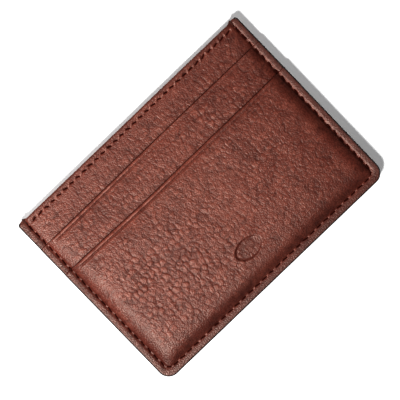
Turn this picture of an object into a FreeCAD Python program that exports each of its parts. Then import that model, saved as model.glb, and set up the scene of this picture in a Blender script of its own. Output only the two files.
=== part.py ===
import FreeCAD, Part
import os
import math

# Slim leather card case: a centre pocket with two stacked card slots on the
# front and two on the back. Millimetres. The case lies on its back: +X along
# its long side, +Y toward the open mouths, +Z out of the front. The origin is
# at the centre of the underside.

# ---------------------------------------------------------------- dimensions
width = 100.0             # long side, over the painted edges
height = 72.2             # short side, with the thread's turn over the top edge
mid_z = 4.0               # height of the plane between the two halves

upper_mouth_y = 24.8      # mouth of the upper card slot
lower_mouth_y = 12.8      # mouth of the lower card slot
lining_back_off = 3.0     # a pocket's lining stops this far below its mouth

leather_lower = 0.6       # pocket and panel leather, skived
leather_upper = 0.5
leather_panel = 0.6
lining = 0.1
card_gap = 0.8            # each slot stands open by one card
centre_gap = 0.8          # the pocket between the two panels

flange = 3.6              # flat sewn margin, from the painted edge inward
bottom_corner_r = 4.2
top_corner_r = 1.1
paint = 0.15              # edge paint, built up on the cut edge

side_seam_x = 47.2        # perimeter stitching
bottom_seam_y = -33.4
top_hole_y = 33.7         # first hole of the perimeter, and the hem line
corner_cut_x = 45.4       # the seam turns each bottom corner with one stitch
corner_cut_y = -31.9
side_stitches = 21
bottom_stitches = 29
hem_stitches = 32
hole_r = 0.32
thread = 0.4              # thread thickness
thread_rise = 0.42        # how far a stitch stands above the leather
top_edge_y = height / 2 - thread - 0.03   # the panels' folded top edge

# Heights above the middle plane, at the sewn margin and on the crown.
z_edge = {}
z_crown = {}
z_edge["centre_lining"] = 0.0
z_edge["panel"] = z_edge["centre_lining"] + lining
z_edge["upper_pocket_lining"] = z_edge["panel"] + leather_panel
z_edge["upper_pocket"] = z_edge["upper_pocket_lining"] + lining
z_edge["lower_pocket_lining"] = z_edge["upper_pocket"] + leather_upper
z_edge["lower_pocket"] = z_edge["lower_pocket_lining"] + lining
z_edge["outside"] = z_edge["lower_pocket"] + leather_lower          # 2.0
z_crown["centre_lining"] = centre_gap / 2
z_crown["panel"] = z_crown["centre_lining"] + lining
z_crown["upper_pocket_lining"] = z_crown["panel"] + leather_panel + card_gap
z_crown["upper_pocket"] = z_crown["upper_pocket_lining"] + lining
z_crown["lower_pocket_lining"] = z_crown["upper_pocket"] + leather_upper + card_gap
z_crown["lower_pocket"] = z_crown["lower_pocket_lining"] + lining   # 3.4, top 4.0

thick = {"centre_lining": lining, "panel": leather_panel,
         "upper_pocket_lining": lining, "upper_pocket": leather_upper,
         "lower_pocket_lining": lining, "lower_pocket": leather_lower}
mouth = {"centre_lining": top_edge_y - lining_back_off, "panel": top_edge_y,
         "upper_pocket_lining": upper_mouth_y - lining_back_off,
         "upper_pocket": upper_mouth_y,
         "lower_pocket_lining": lower_mouth_y - lining_back_off,
         "lower_pocket": lower_mouth_y}

# Rings of the crown, from the sewn margin up to the flat top:
# inset of the sides, inset of the bottom, corner radius, share of the rise.
rings = [(flange, flange, 2.2, 0.0),
         (flange + 1.6, flange + 1.1, 2.8, 0.16),
         (flange + 4.6, flange + 3.3, 3.6, 0.80),
         (flange + 7.4, flange + 5.4, 4.6, 1.0)]
corner_steps = 4

V = FreeCAD.Vector


def u_path(x, y_bottom, radius, y_top, top_radius=0.0):
    """Corners of an open U: down the left side, along the bottom, up the right."""
    left = []
    if top_radius:
        for k in range(corner_steps + 1):
            a = math.pi / 2 + k * math.pi / 2 / corner_steps
            left.append((-x + top_radius + top_radius * math.cos(a),
                         y_top - top_radius + top_radius * math.sin(a)))
    else:
        left.append((-x, y_top))
    for k in range(corner_steps + 1):
        a = math.pi + k * math.pi / 2 / corner_steps
        left.append((-x + radius + radius * math.cos(a),
                     y_bottom + radius + radius * math.sin(a)))
    right = [(-px, py) for px, py in reversed(left)]
    return left + right


def polygon(points):
    return Part.Face(Part.makePolygon([V(*p) for p in points] + [V(*points[0])]))


def surface(outline, paths, z_at):
    """Flat margin, sloping crown and flat top as plane faces."""
    faces = []
    faces.append(polygon([(x, y, z_at[0]) for x, y in outline] +
                         [(x, y, z_at[0]) for x, y in reversed(paths[0])]))
    for a, b, za, zb in zip(paths[:-1], paths[1:], z_at[:-1], z_at[1:]):
        for k in range(len(a) - 1):
            faces.append(polygon([(*a[k], za), (*a[k + 1], za), (*b[k + 1], zb), (*b[k], zb)]))
    faces.append(polygon([(x, y, z_at[-1]) for x, y in paths[-1]]))
    return faces


def sheet(name):
    """One layer of the front half, above the middle plane."""
    y_top = mouth[name]
    x = width / 2 - paint
    to_top = y_top > top_edge_y - 1e-6
    outline = u_path(x, -height / 2 + paint, bottom_corner_r - paint, y_top,
                     top_corner_r if to_top else 0.0)
    paths = [u_path(width / 2 - side, -height / 2 + bottom, radius, y_top)
             for side, bottom, radius, _ in rings]
    rise = z_crown[name] - z_edge[name]
    low = [mid_z + z_edge[name] + rise * share for *_, share in rings]
    high = [z + thick[name] for z in low]
    faces = surface(outline, paths, low) + surface(outline, paths, high)
    for p, q in zip(outline[:-1], outline[1:]):      # cut edge
        faces.append(polygon([(*p, low[0]), (*q, low[0]), (*q, high[0]), (*p, high[0])]))
    ends = [outline[0]] + [path[0] for path in paths]
    zl, zh = [low[0]] + low, [high[0]] + high
    left_low = [(px, py, z) for (px, py), z in zip(ends, zl)]
    left_high = [(px, py, z) for (px, py), z in zip(ends, zh)]
    profile = (left_high + [(-px, py, z) for px, py, z in reversed(left_high)] +
               [(-px, py, z) for px, py, z in left_low] + list(reversed(left_low)))
    faces.append(polygon(profile))                   # mouth edge
    shell = Part.Shell(faces)
    shell.sewShape()
    solid = Part.Solid(shell)
    if solid.Volume < 0:
        solid.reverse()
    return solid


# ------------------------------------------------------------ stitch positions
side_pitch = (top_hole_y - corner_cut_y) / side_stitches
bottom_pitch = 2 * corner_cut_x / bottom_stitches
left_holes = [(-side_seam_x, top_hole_y - k * side_pitch) for k in range(side_stitches + 1)]
bottom_holes = [(-corner_cut_x + k * bottom_pitch, bottom_seam_y)
                for k in range(bottom_stitches + 1)]
right_holes = [(-px, py) for px, py in reversed(left_holes)]
perimeter = left_holes + bottom_holes + right_holes

hem_pitch = 2 * side_seam_x / (hem_stitches + 1)
hem_holes = [(-side_seam_x + hem_pitch / 2 + k * hem_pitch, top_hole_y)
             for k in range(hem_stitches + 1)]


def top_of_seam(y):
    """Height of the outermost leather at the sewn margin, above the middle plane."""
    if y < lower_mouth_y:
        return z_edge["outside"]
    if y < upper_mouth_y:
        return z_edge["lower_pocket_lining"]
    return z_edge["upper_pocket_lining"]


def drills(points, y_limit):
    return [Part.makeCylinder(hole_r, 2 * mid_z + 2, V(px, py, -1)) for px, py in points
            if py < y_limit - 0.5]


# ---------------------------------------------------------------------- thread
def run(points, extra=None):
    """A straight run of stitches as a ribbon standing on edge. The profile is
    drawn along the run: a leg down each hole, and a low arch over the leather
    between two holes. extra adds the last turn over the top edge."""
    p0, p1 = V(*points[0], 0), V(*points[-1], 0)
    along = (p1 - p0).normalize()
    half = thread / 2
    s = [(V(*p, 0) - p0).Length for p in points]
    tops = [top_of_seam(p[1]) for p in points]
    foot = 0.0
    prof = [(s[0] - half, foot)]
    if extra == "start":                             # over the edge and down it
        reach = top_edge_y - top_hole_y
        t = tops[0]
        prof = [(s[0] - half, foot), (s[0] - half, t + 0.03), (-reach - 0.03, t + 0.03),
                (-reach - 0.03, foot), (-reach - 0.03 - thread, foot),
                (-reach - 0.03 - thread, t + 0.2), (-reach + 0.1, t + 0.03 + thread),
                (s[0] - half, t + 0.03 + thread)]
    for k in range(len(points) - 1):
        a, b, ta, tb = s[k], s[k + 1], tops[k], tops[k + 1]
        n = b - a
        for f, lift in ((0.0, 0.3), (0.25, 0.88), (0.5, 1.0), (0.75, 0.88), (1.0, 0.3)):
            base = ta + (tb - ta) * f
            high = max(ta, tb) if 0 < f < 1 else (ta if f == 0 else tb)
            if ta == tb:
                high = base
            prof.append((a + n * f if 0 < f < 1 else (a + half if f == 0 else b - half),
                         high + thread_rise * lift))
    prof.append((s[-1] + half, tops[-1] + thread_rise * 0.3))
    prof.append((s[-1] + half, foot))
    under = []
    for k in range(len(points) - 2, -1, -1):
        a, b, ta, tb = s[k], s[k + 1], tops[k], tops[k + 1]
        under.append((b - half, foot))
        under.append((b - half, tb + 0.03))
        if abs(ta - tb) > 1e-6:
            ya, yb = points[k][1], points[k + 1][1]
            for edge in (upper_mouth_y, lower_mouth_y):
                if min(ya, yb) < edge < max(ya, yb):
                    q = a + abs(edge - ya)
                    q += 0.05 if tb < ta else -0.05
                    under.append((q, tb + 0.03))
                    under.append((q, ta + 0.03))
        under.append((a + half, ta + 0.03))
        under.append((a + half, foot))
    prof += under
    across = V(-along.y, along.x, 0)
    base = p0 - across * half
    pts = [base + along * u + V(0, 0, mid_z + w) for u, w in prof]
    clean = [pts[0]]
    for p in pts[1:]:
        if (p - clean[-1]).Length > 1e-6:
            clean.append(p)
    if (clean[0] - clean[-1]).Length < 1e-6:
        clean.pop()
    face = Part.Face(Part.makePolygon(clean + [clean[0]]))
    return face.extrude(across * thread)


def round_the_case():
    runs = [run(left_holes, "start"),
            run([left_holes[-1], bottom_holes[0]]),
            run(bottom_holes),
            run([right_holes[0], bottom_holes[-1]]),
            run(list(reversed(right_holes)), "start")]
    solid = runs[0].multiFuse(runs[1:])
    return solid.removeSplitter()


# ------------------------------------------------------------------- edge paint
def edge_paint():
    """The built-up painted edge round both sides and the bottom, as high as
    the sewn layers are at each place."""
    outer = u_path(width / 2, -height / 2, bottom_corner_r, top_edge_y - top_corner_r)
    inner = u_path(width / 2 - paint, -height / 2 + paint, bottom_corner_r - paint,
                   top_edge_y - top_corner_r)
    band = polygon([(x, y, 0) for x, y in outer] + [(x, y, 0) for x, y in reversed(inner)])
    solids = []
    lo = -height
    for y_hi, top in ((lower_mouth_y, z_edge["outside"]),
                      (upper_mouth_y, z_edge["lower_pocket_lining"]),
                      (height, z_edge["upper_pocket_lining"])):
        block = band.extrude(V(0, 0, 2 * top))
        block.translate(V(0, 0, mid_z - top))
        keep = Part.makeBox(width + 2, y_hi - lo, 20, V(-width / 2 - 1, lo, -5))
        solids.append(block.common(keep))
        lo = y_hi
    return solids[0].multiFuse(solids[1:]).removeSplitter()


# ------------------------------------------------------------------------ write
os.makedirs("parts", exist_ok=True)
out = {}
for name in thick:
    solid = sheet(name)
    cutters = drills(perimeter, mouth[name])
    if name in ("panel", "centre_lining"):
        cutters += drills(hem_holes, mouth[name])
    out["front_" + name] = solid.cut(Part.makeCompound(cutters))

hem_face = z_crown["upper_pocket_lining"] - card_gap          # outer face of the panel's crown
out["perimeter_needle_thread"] = round_the_case()

# The panel is drawn flat across its crown, so at the hem its outer face is at
# the crown height between the ramps and falls to the margin at both ends.
xs = [r[0] for r in rings]


def hem_height(x, at_edge, at_crown):
    d = width / 2 - abs(x)
    shares = [r[3] for r in rings]
    if d <= xs[0]:
        return at_edge
    if d >= xs[-1]:
        return at_crown
    for a, b, sa, sb in zip(xs[:-1], xs[1:], shares[:-1], shares[1:]):
        if a <= d <= b:
            return at_edge + (at_crown - at_edge) * (sa + (sb - sa) * (d - a) / (b - a))
    return at_crown


def hem_run(outer):
    """Needle thread on the outer face of the panel, or bobbin thread inside."""
    half = thread / 2
    if outer:
        edge, crown, sign = z_edge["upper_pocket_lining"], hem_face, 1
    else:
        edge, crown, sign = z_edge["panel"], z_crown["panel"], -1
    meet_edge = z_edge["panel"] + leather_panel / 2
    meet_crown = z_crown["panel"] + leather_panel / 2
    rise = thread_rise if outer else 0.34
    lift0 = 0.3
    holes = [h[0] for h in hem_holes]
    if not outer:                                    # inside, where the pocket is open
        holes = [h for h in holes if abs(h) < width / 2 - xs[2]]
    top = []
    bottom = []
    for k, (a, b) in enumerate(zip(holes[:-1], holes[1:])):
        for f, lift in ((0.0, lift0), (0.25, 0.88), (0.5, 1.0), (0.75, 0.88), (1.0, lift0)):
            u = a + (b - a) * f
            if f == 0.0:
                u = a - half if k == 0 else a + half
            if f == 1.0:
                u = b + half if k == len(holes) - 2 else b - half
            top.append((u, hem_height(u, edge, crown) + sign * rise * lift))
    for k in range(len(holes) - 2, -1, -1):
        a, b = holes[k], holes[k + 1]
        if k == len(holes) - 2:
            bottom.append((b + half, hem_height(b, meet_edge, meet_crown)))
        bottom.append((b - half, hem_height(b, meet_edge, meet_crown)))
        for f in (0.0, 0.33, 0.67, 1.0):
            u = b - half - (b - a - thread) * f
            bottom.append((u, hem_height(u, edge, crown) + sign * 0.03))
        bottom.append((a + half, hem_height(a, meet_edge, meet_crown)))
        if k == 0:
            bottom.append((a - half, hem_height(a, meet_edge, meet_crown)))
    pts = [V(u, top_hole_y - half, mid_z + w) for u, w in top + bottom]
    face = Part.Face(Part.makePolygon(pts + [pts[0]]))
    return face.extrude(V(0, thread, 0))


out["front_hem_needle_thread"] = hem_run(True)
out["front_hem_bobbin_thread"] = hem_run(False)

# The back is the front mirrored in the middle plane.
for name in list(out):
    twin = out[name].mirror(V(0, 0, mid_z), V(0, 0, 1))
    if name == "perimeter_needle_thread":
        out["perimeter_bobbin_thread"] = twin
    else:
        out[name.replace("front_", "back_")] = twin
out["edge_paint"] = edge_paint()

total = Part.makeCompound(list(out.values())).BoundBox
print("box", [round(v, 3) for v in (total.XMin, total.XMax, total.YMin, total.YMax,
                                    total.ZMin, total.ZMax)])
for name, shape in sorted(out.items()):
    solids = shape.Solids
    good = all(s.isValid() and s.isClosed() and s.Volume > 0 for s in solids)
    print("%-28s solids %d faces %d volume %.1f %s" %
          (name, len(solids), len(shape.Faces), shape.Volume, "ok" if good else "BAD"))
    if not solids or not good:
        raise SystemExit("bad solid: " + name)
    piece = solids[0] if len(solids) == 1 else Part.makeCompound(solids)
    piece.exportStep("parts/%s.step" % name)
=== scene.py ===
import bpy
import math
import numpy as np
from mathutils import Matrix, Vector


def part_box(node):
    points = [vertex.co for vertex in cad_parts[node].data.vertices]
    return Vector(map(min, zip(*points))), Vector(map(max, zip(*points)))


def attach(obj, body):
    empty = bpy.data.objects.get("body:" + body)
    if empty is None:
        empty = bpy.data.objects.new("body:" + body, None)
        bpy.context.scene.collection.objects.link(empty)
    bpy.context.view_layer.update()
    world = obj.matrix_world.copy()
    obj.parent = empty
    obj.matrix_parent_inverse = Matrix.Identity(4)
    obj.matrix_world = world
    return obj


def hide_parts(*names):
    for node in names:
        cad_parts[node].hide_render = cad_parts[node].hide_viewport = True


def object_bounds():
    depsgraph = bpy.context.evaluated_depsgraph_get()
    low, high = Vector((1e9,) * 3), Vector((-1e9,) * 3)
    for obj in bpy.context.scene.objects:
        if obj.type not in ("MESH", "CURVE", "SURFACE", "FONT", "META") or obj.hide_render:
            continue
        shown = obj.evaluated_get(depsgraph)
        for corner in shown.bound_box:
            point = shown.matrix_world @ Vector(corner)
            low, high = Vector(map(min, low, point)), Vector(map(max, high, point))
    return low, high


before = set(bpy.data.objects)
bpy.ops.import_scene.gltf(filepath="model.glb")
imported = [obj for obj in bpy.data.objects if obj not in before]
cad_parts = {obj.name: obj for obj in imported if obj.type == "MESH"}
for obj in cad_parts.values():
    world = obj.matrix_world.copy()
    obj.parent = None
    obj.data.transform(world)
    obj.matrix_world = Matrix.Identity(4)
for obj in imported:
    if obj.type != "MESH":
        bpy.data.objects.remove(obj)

CAD_BOX = [[float(c) for c in corner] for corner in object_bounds()]

# ------------------------------------------------------------------ the frame
# Work in millimetres; every mesh is written in metres.
MM = 0.001
LO, HI = (np.array(c) * 1000.0 for c in CAD_BOX)
HALF_X = (HI[0] - LO[0]) / 2
BOTTOM_Y = LO[1]
MID_Z = (LO[2] + HI[2]) / 2


def node_top(node, axis):
    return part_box(node)[1][axis] * 1000.0


MOUTH = {"lower": node_top("front_lower_pocket", 1),
         "upper": node_top("front_upper_pocket", 1),
         "panel": node_top("front_panel", 1)}
CROWN = {"lower": node_top("front_lower_pocket", 2) - MID_Z,      # 4.0
         "upper": node_top("front_upper_pocket", 2) - MID_Z,      # 2.5
         "panel": node_top("front_panel", 2) - MID_Z}             # 1.1
THICK = {"lower": 0.6, "upper": 0.5, "panel": 0.6}
EDGE = {"lower": 2.0, "upper": 1.3, "panel": 0.7}                 # top at the sewn margin
SEAM_X = 47.2
SEAM_Y = -33.4
CUT_X, CUT_Y = 45.4, -31.9          # the one slanted stitch at each bottom corner
HEM_Y = 33.7
SIDE_N, BOTTOM_N, HEM_N = 21, 29, 32
CORNER_R = 4.2
TOP_R = 1.1


# ---------------------------------------------------------------------- noise
def hashed(ix, iy, seed):
    a = (ix + 70001).astype(np.uint64)
    b = (iy + 90001).astype(np.uint64)
    h = (a * np.uint64(374761393) + b * np.uint64(668265263)
         + np.uint64(seed * 97463 + 1013)) & np.uint64(0xFFFFFFFF)
    h = ((h ^ (h >> np.uint64(13))) * np.uint64(1274126177)) & np.uint64(0xFFFFFFFF)
    h = ((h ^ (h >> np.uint64(15))) * np.uint64(2246822519)) & np.uint64(0xFFFFFFFF)
    h = h ^ (h >> np.uint64(16))
    return h.astype(np.float64) / 4294967296.0


def perlin(x, y, seed):
    xi, yi = np.floor(x), np.floor(y)
    xf, yf = x - xi, y - yi
    u = xf * xf * xf * (xf * (xf * 6 - 15) + 10)
    v = yf * yf * yf * (yf * (yf * 6 - 15) + 10)
    out = []
    for dy in (0, 1):
        for dx in (0, 1):
            a = hashed(xi + dx, yi + dy, seed) * 2 * math.pi
            out.append(np.cos(a) * (xf - dx) + np.sin(a) * (yf - dy))
    low = out[0] + (out[1] - out[0]) * u
    high = out[2] + (out[3] - out[2]) * u
    return (low + (high - low) * v) * 1.5


def fractal(x, y, seed, octaves=3):
    total, amp = np.zeros_like(x), 1.0
    for k in range(octaves):
        total += amp * perlin(x * 2 ** k, y * 2 ** k, seed + 17 * k)
        amp *= 0.5
    return total


def worley(x, y, seed):
    """Distances to the nearest and second nearest of jittered points, and a
    random number that belongs to the nearest."""
    xi, yi = np.floor(x), np.floor(y)
    f1 = np.full_like(x, 9.0)
    f2 = np.full_like(x, 9.0)
    who = np.zeros_like(x)
    for dy in (-1, 0, 1):
        for dx in (-1, 0, 1):
            cx, cy = xi + dx, yi + dy
            px = cx + 0.5 + 0.84 * (hashed(cx, cy, seed) - 0.5)
            py = cy + 0.5 + 0.84 * (hashed(cx, cy, seed + 5) - 0.5)
            d = np.hypot(px - x, py - y)
            r = hashed(cx, cy, seed + 9)
            near = d < f1
            f2 = np.where(near, f1, np.minimum(f2, d))
            who = np.where(near, r, who)
            f1 = np.where(near, d, f1)
    return f1, f2, who


def smooth(t):
    t = np.clip(t, 0.0, 1.0)
    return t * t * (3 - 2 * t)


# ------------------------------------------------------------- leather surface
def stitch_list(part):
    """(x0, y0, x1, y1) of each stitch between two holes."""
    rows = []
    if part == "hem":
        pitch = 2 * SEAM_X / (HEM_N + 1)
        xs = [-SEAM_X + pitch / 2 + k * pitch for k in range(HEM_N + 1)]
        return [(a, HEM_Y, b, HEM_Y) for a, b in zip(xs[:-1], xs[1:])]
    ys = [HEM_Y - k * (HEM_Y - CUT_Y) / SIDE_N for k in range(SIDE_N + 1)]
    xs = [-CUT_X + k * 2 * CUT_X / BOTTOM_N for k in range(BOTTOM_N + 1)]
    path = ([(-SEAM_X, y) for y in ys] + [(x, SEAM_Y) for x in xs]
            + [(SEAM_X, y) for y in reversed(ys)])
    for (ax, ay), (bx, by) in zip(path[:-1], path[1:]):
        rows.append((ax, ay, bx, by))
    return rows


PERIMETER = stitch_list("perimeter")
HEM = stitch_list("hem")
RUN = {"hem": 0.42, "bottom": 0.48, "side": 0.46}           # share of the pitch that shows


def seam_kind(ax, ay, bx, by):
    if ay > HEM_Y - 0.01 and by > HEM_Y - 0.01:
        return "hem"
    return "bottom" if abs(bx - ax) > abs(by - ay) else "side"


def slant(kind, x):
    """How far a stitch leans from its row, in radians. The hem's stitches fall
    to the right over most of the row, and rise at both ends."""
    if kind == "hem":
        return math.radians(-18.0 + 34.0 * min(max((x - 20.0) / 10.0, 0.0), 1.0)
                            + 28.0 * min(max((-39.5 - x) / 2.0, 0.0), 1.0))
    return math.radians(-4.0 if kind == "bottom" else -9.0)


def stitch_shape(k, ax, ay, bx, by):
    """Direction and visible length of stitch number k."""
    kind = seam_kind(ax, ay, bx, by)
    n = math.hypot(bx - ax, by - ay)
    wob = math.sin(k * 2.399) * math.radians(5) + math.sin(k * 5.13 + 1) * math.radians(2)
    ang = math.atan2(by - ay, bx - ax) + slant(kind, (ax + bx) / 2) + wob
    return kind, ang, n * (RUN[kind] + 0.05 * math.sin(k * 1.7) + 0.02 * math.sin(k * 3.1))


def seam_distance(x, y):
    """Distance inside the seam line, negative in the margin outside it."""
    dx = SEAM_X - np.abs(x)
    dy = y - SEAM_Y
    r = 1.9
    ox, oy = r - dx, r - dy
    corner = r - np.hypot(np.maximum(ox, 0), np.maximum(oy, 0))
    return np.where((ox > 0) & (oy > 0), corner, np.minimum(dx, dy))


def margin_inset(x, y):
    """Distance from the cut edge."""
    dx = HALF_X - np.abs(x)
    dy = y - BOTTOM_Y
    r = CORNER_R
    ox, oy = r - dx, r - dy
    corner = r - np.hypot(np.maximum(ox, 0), np.maximum(oy, 0))
    return np.where((ox > 0) & (oy > 0), corner, np.minimum(dx, dy))


def crown_share(x, y):
    """0 at the seam to 1 on the crown: a pillow, steeper at the left and the
    bottom, easier at the right where it was sat on."""
    def rise(d, near, far, share):
        """share of the height over the first near mm, the rest over far mm."""
        a = np.clip(d / near, 0, 1)
        b = np.clip(d / far, 0, 1)
        return share * (1 - (1 - a) ** 2.5) + (1 - share) * (1 - (1 - b) ** 2)
    left = rise(x + SEAM_X - 0.30, 6.0, 12.0, 0.72)
    right = rise(SEAM_X - x - 0.30, 5.0, 19.0, 0.72)
    bottom = rise(y - SEAM_Y - 0.30, 5.6, 11.0, 0.76)
    return left * right * bottom


def crown_sag(x, y):
    """Gentle unevenness of the crown, in mm, zero at the seams."""
    soft = smooth((SEAM_X - np.abs(x)) / 14) * smooth((y - SEAM_Y) / 12)
    return soft * (0.10 * perlin(x / 19 + 3.1, y / 15 + 0.4, 71)
                   + 0.05 * perlin(x / 8 + 1.7, y / 7, 72))


def grain(x, y, seed, side):
    """Height of the pebbled grain in mm, how deep in a valley or vein a point is, and its painted highlight: on the
    pebble tops, in lighter patches and as a painted sheen across the middle.
    """
    wx = x + 0.55 * perlin(x / 3.1, y / 3.1, seed + 31) + 0.22 * perlin(x / 1.1, y / 1.1, seed + 33)
    wy = y + 0.55 * perlin(x / 3.1 + 9, y / 3.1, seed + 32) + 0.22 * perlin(x / 1.1, y / 1.1 + 7, seed + 34)
    lean = 0.16
    ax = wx + lean * wy
    # large pebbles, longer along y
    f1, f2, who = worley(ax / 1.78, wy / 2.30, seed)
    gap = f2 - f1
    pebble = 1 - np.exp(-(gap / 0.26) ** 2)
    dome = 1 - (np.minimum(f1, 0.8) / 0.7) ** 2
    valley = np.exp(-(gap / 0.12) ** 2)
    # painted highlight on the pebble tops
    painted_highlight = smooth((gap - 0.10) / 0.45) * (0.25 + 1.0 * who) * np.clip(dome, 0, 1) * 1.3
    # smaller pebbles within and between them
    g1, g2, _ = worley(ax / 0.98, wy / 1.30, seed + 3)
    small = 0.55 * (1 - np.exp(-((g2 - g1) / 0.30) ** 2)) + 0.45 * (1 - (np.minimum(g1, 0.8) / 0.7) ** 2)
    small_valley = np.exp(-((g2 - g1) / 0.12) ** 2)
    # long fine wrinkles
    rx = ax * 0.92 + wy * 0.39
    ry = -ax * 0.39 + wy * 0.92
    wrinkle = np.abs(perlin(rx / 0.95, ry / 3.6, seed + 41))
    wrinkle_valley = np.exp(-(wrinkle / 0.10) ** 2)
    # long thin creases that cross the pebbles
    cx = wx * 0.80 - wy * 0.60 + 1.4 * perlin(x / 7.0, y / 7.0, seed + 44)
    cy = wx * 0.60 + wy * 0.80
    crease_a = np.abs(perlin(cx / 2.6, cy / 9.0, seed + 45))
    crease_b = np.abs(perlin(ax / 2.9 + 4.0, wy / 10.0, seed + 46))
    some = smooth((perlin(x / 6.5, y / 6.5, seed + 47) + 0.12) / 0.4)
    other = smooth((perlin(x / 6.0 + 3, y / 6.0, seed + 48) + 0.12) / 0.4)
    vein = np.maximum(some * np.exp(-(crease_a / 0.045) ** 2), other * np.exp(-(crease_b / 0.045) ** 2))
    lu = wx * 0.74 + wy * 0.67
    lv = -wx * 0.67 + wy * 0.74
    long_fold = np.exp(-(perlin(lv / 1.25 + 5, lu / 6.5, seed + 49) / 0.12) ** 2)
    long_fold = long_fold * smooth((x - 2) / 16) * smooth((-4 - y) / 10) * smooth(0.6 + perlin(x / 5, y / 5, seed + 50))
    vein = np.maximum(vein, 0.55 * long_fold)
    keep = np.clip(0.80 + 0.60 * perlin(x / 4.6, y / 4.6, seed + 51), 0.34, 1.25)
    coarse, fine = side
    z = (coarse * keep * (0.062 * (pebble - 0.8) + 0.088 * (dome - 0.5) + 0.055 * (who - 0.5) * pebble)
         + fine * (0.033 * (small - 0.7) - 0.036 * wrinkle_valley) - 0.050 * vein * (0.4 + 0.6 * fine)
         + 0.022 * fractal(x / 2.6, y / 2.6, seed + 61, 2) * (coarse + fine) * 0.5)
    blot = smooth(0.45 + 0.9 * perlin(x / 1.9 + 6, y / 2.3, seed + 54)) * smooth(0.5 + perlin(x / 6, y / 5, seed + 55))
    dark = np.clip(coarse * keep * valley * 0.78 + fine * (0.30 * small_valley + 0.45 * wrinkle_valley)
                   + 0.75 * vein + 0.40 * blot, 0, 1)
    patch = smooth(0.5 + 0.7 * perlin(x / 5.5 + 2, y / 5.5, seed + 52))
    # painted highlight on pebble tops and patches, and painted sheen across the middle, returned as the third value
    light = np.clip(coarse * keep * painted_highlight * (0.5 + 0.9 * patch) + 0.16 * fine * smooth((g2 - g1 - 0.15) / 0.3)
                    + 0.56 * patch * smooth(0.5 + 1.0 * perlin(x / 2.1, y / 2.4, seed + 53))
                    + 0.22 * np.exp(-((x - 4) / 17) ** 2)
                    + 0.16 * np.exp(-((x - 2) / 20) ** 2 - ((y - 2) / 12) ** 2), 0, 1)
    return z, dark, light


def grain_strength(x, y, layer, back):
    """How coarse and how fine the grain is at each place."""
    if back:
        x = -x
    rim = smooth((seam_distance(x, y) - 0.9) / 3.2)
    spot = 0.5 + 0.5 * perlin(x / 21 + 2.2, y / 17 + 1.1, 81)
    if layer == "lower":
        strong = np.exp(-(((x + 28) / 26) ** 2 + ((y + 12) / 20) ** 2))
        coarse = 0.34 + 0.72 * strong + 0.30 * spot
        fine = 0.66 + 0.34 * spot + 0.20 * smooth((x - 5) / 25) - 0.25 * strong
        rim = rim * (0.12 + 0.88 * smooth((seam_distance(x, y) - 2.2) / 6.5))
        calm = smooth((MOUTH["lower"] - y - 1.9) / 2.5)
        coarse = coarse * (0.2 + 0.8 * calm)
    elif layer == "upper":
        coarse = 0.44 + 0.34 * spot
        fine = 0.76 + 0.28 * spot
        coarse = coarse * (0.25 + 0.75 * smooth((MOUTH["upper"] - y - 1.8) / 2.0))
    else:
        coarse = 0.36 + 0.28 * spot
        fine = 0.66 + 0.25 * spot
        coarse = coarse * (0.15 + 0.85 * smooth((HEM_Y - y - 1.2) / 3.0))
    return coarse * rim, fine * (0.25 + 0.75 * rim)


def trenches(x, y, stitches, bend=1.0):
    """Depth pressed in by each stitch and the raised leather between them."""
    dip = np.zeros_like(x)
    lift = np.zeros_like(x)
    hole = np.zeros_like(x)
    for k, (ax, ay, bx, by) in enumerate(stitches):
        mx, my = (ax + bx) / 2, (ay + by) / 2
        n = math.hypot(bx - ax, by - ay)
        near = (np.abs(x - mx) < n / 2 + 1.6) & (np.abs(y - my) < n / 2 + 1.6)
        if not near.any():
            continue
        px, py = x[near] - mx, y[near] - my
        kind, ang, length = stitch_shape(k, ax, ay, bx, by)
        c, s = math.cos(ang), math.sin(ang)
        a, b = px * c + py * s, -px * s + py * c
        wide = {"hem": 0.21, "bottom": 0.20, "side": 0.185}[kind] * (1 + 0.12 * math.sin(k * 4.3))
        length = length - 0.10
        over = np.maximum(np.abs(a) - length / 2, 0)
        r = np.hypot(over, b)
        dip[near] = np.maximum(dip[near], np.exp(-(r / wide) ** 2))
        for end in (-1, 1):
            q = np.hypot(a - end * (length / 2 + 0.08), b)
            hole[near] = np.maximum(hole[near], np.exp(-(q / 0.20) ** 2))
        # the lip of leather at the hole between this stitch and the next
        lean, run, slim, tall = {"hem": (52, 0.76, 0.19, 1.5), "bottom": (44, 0.90, 0.18, 0.62),
                                 "side": (50, 0.46, 0.16, 0.38)}[kind]
        tall = tall * (0.75 + 0.25 * math.sin(k * 2.9 + 0.7))
        c0, s0 = math.cos(ang + math.radians(lean)), math.sin(ang + math.radians(lean))
        ex, ey = bx - mx, by - my
        u = (px - ex) * c0 + (py - ey) * s0
        v = -(px - ex) * s0 + (py - ey) * c0
        lift[near] = np.maximum(lift[near], tall * np.exp(-(u / run) ** 2 - (v / slim) ** 2))
    return dip, lift, hole


def crease(y, at, width):
    return np.exp(-((y - at) / width) ** 2)


def mouth_line(layer, x):
    """How far the mouth of a layer stands from a straight line."""
    if layer == "lower":
        return 0.42 * smooth((-x - 8) / 40) - 0.14 * np.cos(x / 50 * math.pi / 2) + 0.05 * np.sin(x / 9.0)
    if layer == "upper":
        return 0.06 * np.sin(x / 14.0 + 1.0) - 0.05
    return 0.34 * smooth((np.abs(x) - 46.1) / 0.7) + 0.02 * np.sin(x / 11.0)


def base_height(layer, x, y):
    """Top of a layer above the middle plane, before any detail."""
    share = crown_share(x, y)
    z = EDGE[layer] + (CROWN[layer] - EDGE[layer]) * share
    z = z + crown_sag(x, y) * {"lower": 1.0, "upper": 0.55, "panel": 0.3}[layer]
    return z


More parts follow.
